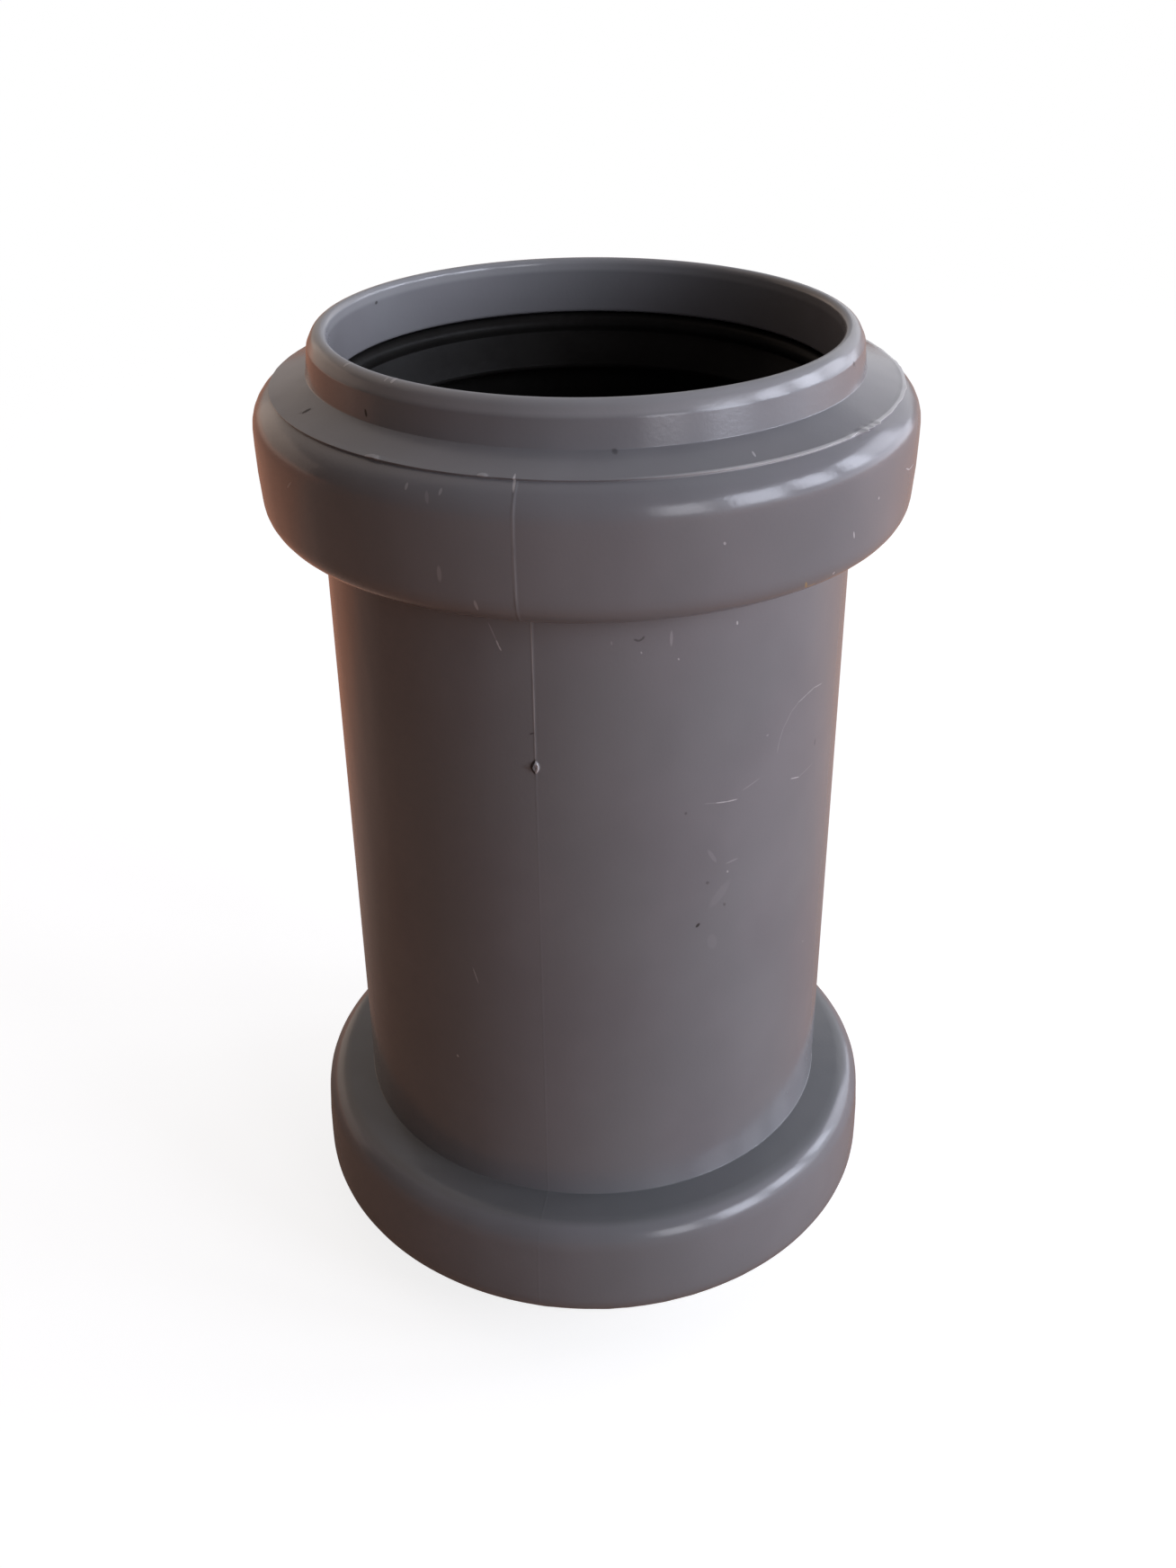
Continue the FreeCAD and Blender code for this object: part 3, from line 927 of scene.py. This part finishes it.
def rubber_material():
    """Black rubber with a soft sheen and a little dust."""
    tree = new_material("black_rubber")
    position = tree.position()
    cloud = tree.noise(position, *RUBBER_CLOUD)
    dust = tree.product(tree.range(tree.noise(position, *DUST), *DUST_RANGE), DUST_STRENGTH)
    base = tree.mix(tree.range(cloud, *CLOUD_RANGE), RUBBER_DARKER, RUBBER_LIGHTER)
    inputs = {
        "Base Color": tree.mix(dust, base, RUBBER_DUST),
        "Roughness": tree.range(cloud, *CLOUD_RANGE, *RUBBER_ROUGHNESS),
        "Normal": tree.bump(tree.noise(position, *RUBBER_GRAIN), *RUBBER_BUMP),
        "IOR": RUBBER_IOR,
        "Specular IOR Level": RUBBER_SPECULAR,
    }
    return tree.finish(tree.add("ShaderNodeBsdfPrincipled", inputs).outputs[0])


def split_marks(marks):
    """The marks on the barrel and the marks on the beads and collars."""
    top = LENGTH - BEAD_LENGTH
    on_barrel = [mark for mark in marks if mark[0][0][1] < top]
    elsewhere = [mark for mark in marks if mark[0][0][1] >= top]
    return on_barrel, elsewhere


def body_materials():
    """One plastic, with no marks, with those of the barrel and with those of the upper bead."""
    barrel_light_and_highlight, bead_light = split_marks(LIGHT_MARKS_AND_PIP_HIGHLIGHT)
    barrel_dark_and_shade, bead_dark = split_marks(DARK_MARKS_AND_PIP_SHADE)
    return [
        plastic_material("grey_polypropylene"),
        plastic_material("grey_polypropylene_barrel", barrel_light_and_highlight, barrel_dark_and_shade),
        plastic_material("grey_polypropylene_bead", bead_light, bead_dark, OCHRE_MARKS),
    ]


# Where the marked plastics go: azimuths on both sides of the front, and depths from the end faces.
BARREL_MARKS_SIDE = 75
BEAD_MARKS_SIDE = 80
MARKED_DEPTH = 20
COLLAR_DEPTH = 4
BARREL_NEARNESS = 0.4
BARREL_PLASTIC = 1         # places in the list of the body's materials
BEAD_PLASTIC = 2


def choose_materials(piece):
    """Gives each face of the body the plastic that holds the marks near it."""
    for polygon in piece.data.polygons:
        x, y, z = polygon.center / MM
        side = abs(math.degrees(math.atan2(x, -y)))
        on_barrel = abs(math.hypot(x, y) - BARREL_RADIUS) < BARREL_NEARNESS
        if side < BARREL_MARKS_SIDE and on_barrel and MARKED_DEPTH < z < LENGTH - MARKED_DEPTH:
            polygon.material_index = BARREL_PLASTIC
        elif z > LENGTH - MARKED_DEPTH and (side < BEAD_MARKS_SIDE or z > LENGTH - COLLAR_DEPTH):
            polygon.material_index = BEAD_PLASTIC


def dress(piece, materials, node):
    """Gives a piece its materials and makes it stand for a node of the frame."""
    for material in materials:
        piece.data.materials.append(material)
    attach(piece, "root")
    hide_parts(node)


# The photograph's camera: its focal length in pixels of a frame 1744 pixels high, place and tilts.
IMAGE_HEIGHT = 1744
FOCAL_PIXELS = 1834.89
CAMERA_PLACE = (-0.245, -161.91, 150.32)
CAMERA_DOWN = math.radians(30.294)
CAMERA_ROLL = math.radians(-0.6204)
SENSOR = 36.0
NEAREST_SEEN = 0.005       # metres


def make_camera():
    """Camera at the photograph's angle."""
    level = Vector((1, 0, 0))
    forward = Vector((0, math.cos(CAMERA_DOWN), -math.sin(CAMERA_DOWN)))
    level_up = Vector((0, math.sin(CAMERA_DOWN), math.cos(CAMERA_DOWN)))
    right = math.cos(CAMERA_ROLL) * level + math.sin(CAMERA_ROLL) * level_up
    up = -math.sin(CAMERA_ROLL) * level + math.cos(CAMERA_ROLL) * level_up
    data = bpy.data.cameras.new("camera")
    data.sensor_width = SENSOR
    data.lens = FOCAL_PIXELS / IMAGE_HEIGHT * SENSOR
    data.clip_start = NEAREST_SEEN
    camera = bpy.data.objects.new("camera", data)
    turned = Matrix((right, up, -forward)).transposed().to_4x4()
    camera.matrix_world = Matrix.Translation(Vector(CAMERA_PLACE) * MM) @ turned
    bpy.context.scene.collection.objects.link(camera)
    bpy.context.scene.camera = camera


# Softboxes: azimuth, elevation, width and height in degrees, radiance, colour. All are as far away.
LAMP_DISTANCE = 0.95
LAMP_POWER = 4             # watts in a square metre of lamp, for a radiance of 1
LAMP_AIM = Vector((0, 0, 0.075))
SOFTBOXES = [
    (31.0, 14.0, 14.0, 24.0, 3.4, (0.97, 0.98, 1.06)),
    (56.5, 15.5, 18.0, 27.0, 6.4, (0.92, 0.97, 1.12)),
    (79.0, 17.5, 14.0, 22.0, 6.6, (0.92, 0.97, 1.12)),
    (100.0, 17.5, 13.0, 21.0, 5.6, (0.92, 0.97, 1.12)),
    (119.0, 17.0, 18.0, 20.0, 2.5, (0.94, 0.97, 1.1)),
    (150.0, 16.0, 34.0, 30.0, 0.4, (1.0, 0.97, 0.97)),
    (45.0, -3.0, 22.0, 11.0, 0.7, (0.94, 0.97, 1.1)),
    (68.0, -3.0, 24.0, 11.0, 1.0, (0.94, 0.97, 1.1)),
    (92.0, 0.0, 24.0, 13.0, 1.3, (0.94, 0.97, 1.1)),
    (120.0, 0.0, 32.0, 13.0, 1.7, (0.94, 0.97, 1.1)),
    (-125.0, 8.0, 50.0, 28.0, 0.4, (1.0, 0.77, 0.64)),
]


def make_lamp(name, azimuth, elevation, width, height, radiance, colour):
    """Area lamp that faces the object. Its width and height are the angles that it fills."""
    turn, rise = math.radians(azimuth), math.radians(elevation)
    level = math.cos(rise)
    direction = Vector((math.sin(turn) * level, -math.cos(turn) * level, math.sin(rise)))
    data = bpy.data.lights.new(name, "AREA")
    data.shape = "RECTANGLE"
    data.size = 2 * LAMP_DISTANCE * math.tan(math.radians(width / 2))
    data.size_y = 2 * LAMP_DISTANCE * math.tan(math.radians(height / 2))
    data.energy = LAMP_POWER * radiance * data.size * data.size_y
    data.color = colour
    lamp = bpy.data.objects.new(name, data)
    lamp.location = LAMP_AIM + direction * LAMP_DISTANCE
    lamp.rotation_euler = (-direction).to_track_quat("-Z", "Y").to_euler()
    lamp.visible_camera = False
    bpy.context.scene.collection.objects.link(lamp)


WHITE = (1, 1, 1)
FLOOR_HALF = 6.0           # metres
FLOOR_COLOUR = (0.36, 0.19, 0.12)
FLOOR_GREY = 0.43
FLOOR_LIT = 0.2            # what the floor sends back near the object, out of the shadow
FLOOR_FADE = (0.1, 0.5)    # metres: the floor's own shading fades out between them
FLOOR_REFLECTED = 0.03     # what glossy and clear surfaces see of the background's white
FLOOR_BEHIND = 0.3         # and what they see of the floor behind the object
FLOOR_BEHIND_FADE = (0.0, 0.12)
FLOOR_BEHIND_LEFT = (1.0, 0.45, 0.31)
FLOOR_BEHIND_RIGHT = (0.7, 0.5, 0.42)
FLOOR_SIDES = (-0.04, 0.04)    # metres: the left colour gives way to the right one between them


def floor_material():
    """Pale floor: white to the camera apart from the object's soft shadow."""
    tree = new_material("pale_floor")
    path = tree.add("ShaderNodeLightPath")
    seen = path.outputs["Is Camera Ray"]
    position = tree.position()
    parts = tree.parts(position)
    near = tree.range(tree.length(position), *FLOOR_FADE, 1.0, 0.0)
    grey = tree.product(near, FLOOR_GREY)
    shade = tree.add("ShaderNodeCombineColor", {0: grey, 1: grey, 2: grey}).outputs[0]
    colour = tree.mix(seen, FLOOR_COLOUR, shade)

    behind = tree.range(parts["Y"], *FLOOR_BEHIND_FADE)
    reflected = tree.math("ADD", tree.product(behind, FLOOR_BEHIND), FLOOR_REFLECTED)
    white = tree.math("SUBTRACT", 1.0, tree.product(near, FLOOR_LIT))
    strength = tree.math("ADD", tree.product(seen, white), tree.product(tree.mirrored(path), reflected))
    tint = tree.mix(tree.range(parts["X"], *FLOOR_SIDES), FLOOR_BEHIND_LEFT, FLOOR_BEHIND_RIGHT)
    tint = tree.mix(tree.math("MAXIMUM", seen, tree.math("SUBTRACT", 1.0, behind)), tint, WHITE)

    diffuse = tree.add("ShaderNodeBsdfDiffuse", {"Color": colour}).outputs[0]
    glow = tree.add("ShaderNodeEmission", {"Color": tint, "Strength": strength}).outputs[0]
    return tree.finish(tree.add("ShaderNodeAddShader", {0: diffuse, 1: glow}).outputs[0])


def make_floor():
    """Wide square floor under the object."""
    corners = [(x * FLOOR_HALF, y * FLOOR_HALF, 0) for x, y in ((-1, -1), (1, -1), (1, 1), (-1, 1))]
    mesh = bpy.data.meshes.new("floor")
    mesh.from_pydata(corners, [], [(0, 1, 2, 3)])
    mesh.materials.append(floor_material())
    floor = bpy.data.objects.new("floor", mesh)
    bpy.context.scene.collection.objects.link(floor)


WORLD_LOW = (0.055, 0.042, 0.04)
WORLD_HIGH_LEFT = (0.62, 0.5, 0.42)
WORLD_HIGH_RIGHT = (0.46, 0.46, 0.49)
WORLD_SIDES = (-0.7, 0.15)    # X of the directions between which the warm side gives way
WORLD_BRIGHT_SIDE = (0, 0.77, 0.64)
WORLD_RISE = (0.25, 0.85)     # cosines of the angles to the bright side between which it fades in
WORLD_REFLECTED = 0.03


def make_world():
    """Dim soft surroundings, brighter above and behind, and white to the camera."""
    world = bpy.data.worlds.new("surroundings")
    bpy.context.scene.world = world
    tree = Tree(world)
    direction = tree.add("ShaderNodeTexCoord").outputs["Generated"]
    inputs = {0: direction, 1: WORLD_BRIGHT_SIDE}
    towards = tree.add("ShaderNodeVectorMath", inputs, operation="DOT_PRODUCT").outputs["Value"]
    sides = tree.range(tree.parts(direction)["X"], *WORLD_SIDES)
    high = tree.mix(sides, WORLD_HIGH_LEFT, WORLD_HIGH_RIGHT)
    shade = tree.mix(tree.range(towards, *WORLD_RISE), WORLD_LOW, high)
    path = tree.add("ShaderNodeLightPath")
    reflected = tree.product(tree.mirrored(path), WORLD_REFLECTED)
    white = tree.math("ADD", reflected, path.outputs["Is Camera Ray"])
    plain = tree.add("ShaderNodeBackground", {"Color": shade}).outputs[0]
    glow = tree.add("ShaderNodeBackground", {"Strength": white}).outputs[0]
    both = tree.add("ShaderNodeAddShader", {0: plain, 1: glow}).outputs[0]
    tree.finish(both, "ShaderNodeOutputWorld")


make_camera()
make_floor()
make_world()
for number, softbox in enumerate(SOFTBOXES, 1):
    make_lamp(f"softbox_{number}", *softbox)
bpy.context.scene.view_settings.view_transform = "Standard"

body = make_body()
dress(body, body_materials(), "coupling_body")
choose_materials(body)
rubber = [rubber_material()]
dress(make_seal("lip_seal_top", at_top(seal_corners())[::-1]), rubber, "ring_seal_top")
dress(make_seal("lip_seal_bottom", seal_corners()), rubber, "ring_seal_bottom")
